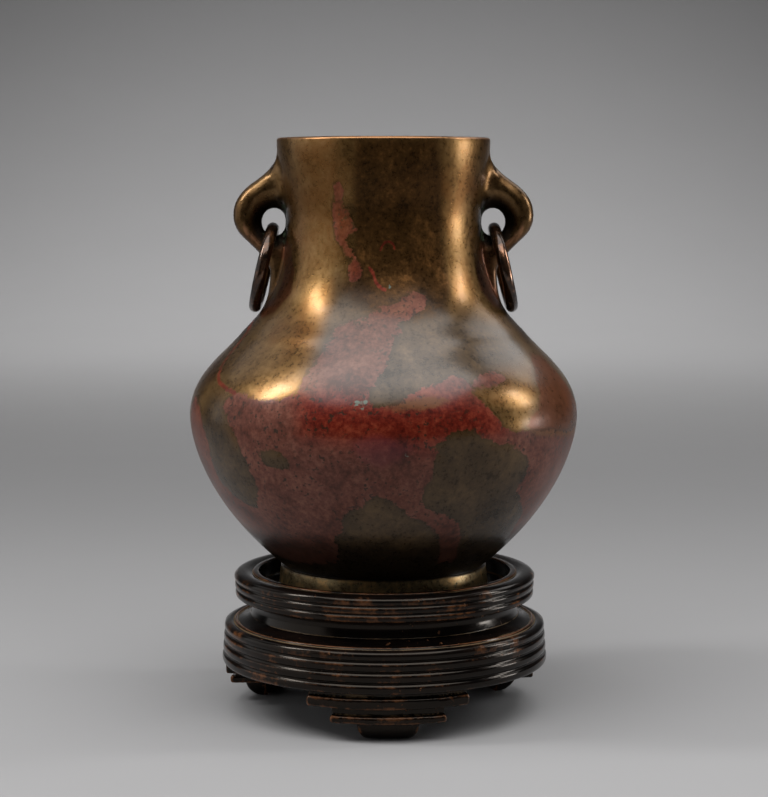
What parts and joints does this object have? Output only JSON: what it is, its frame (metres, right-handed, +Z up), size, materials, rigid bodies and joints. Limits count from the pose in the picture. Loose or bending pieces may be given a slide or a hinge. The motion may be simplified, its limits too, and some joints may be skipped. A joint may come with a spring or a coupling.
{
  "type": "bronze hu vase with ring handles on a turned wooden stand",
  "caption": "Pear-shaped bronze hu vase with loop handles and loose rings, standing on a turned, reeded wooden stand with stepped feet.",
  "frame": {"origin": "on the ground, centre of the footprint, under the axis of the vase", "axes": "+Z up, +X to the viewer's right through the right loop handle, +Y to the back"},
  "size_m": [0.203, 0.203, 0.3],
  "materials": {
    "patinated_bronze": "satin cast bronze, brown-olive patina with red cuprite patches, golden wear and a little verdigris",
    "dark_ring_bronze": "dark brown bronze with copper-coloured worn edges",
    "dark_lacquered_wood": "near-black brown satin lacquer, worn to reddish brown on the edges"
  },
  "bodies": {
    "vase_and_stand": {"vase": "patinated_bronze", "stand": "dark_lacquered_wood"},
    "left_ring_body": {"left_ring": "dark_ring_bronze"},
    "right_ring_body": {"right_ring": "dark_ring_bronze"}
  },
  "joints": [
    {"name": "left_ring_swing", "type": "hinge", "parent": "vase_and_stand", "child": "left_ring_body", "pos_m": [-0.0577, 0, 0.2531], "axis": [0, 1, 0], "range_deg": [0, 150]},
    {"name": "right_ring_swing", "type": "hinge", "parent": "vase_and_stand", "child": "right_ring_body", "pos_m": [0.0577, 0, 0.2531], "axis": [0, -1, 0], "range_deg": [0, 150]}
  ]
}
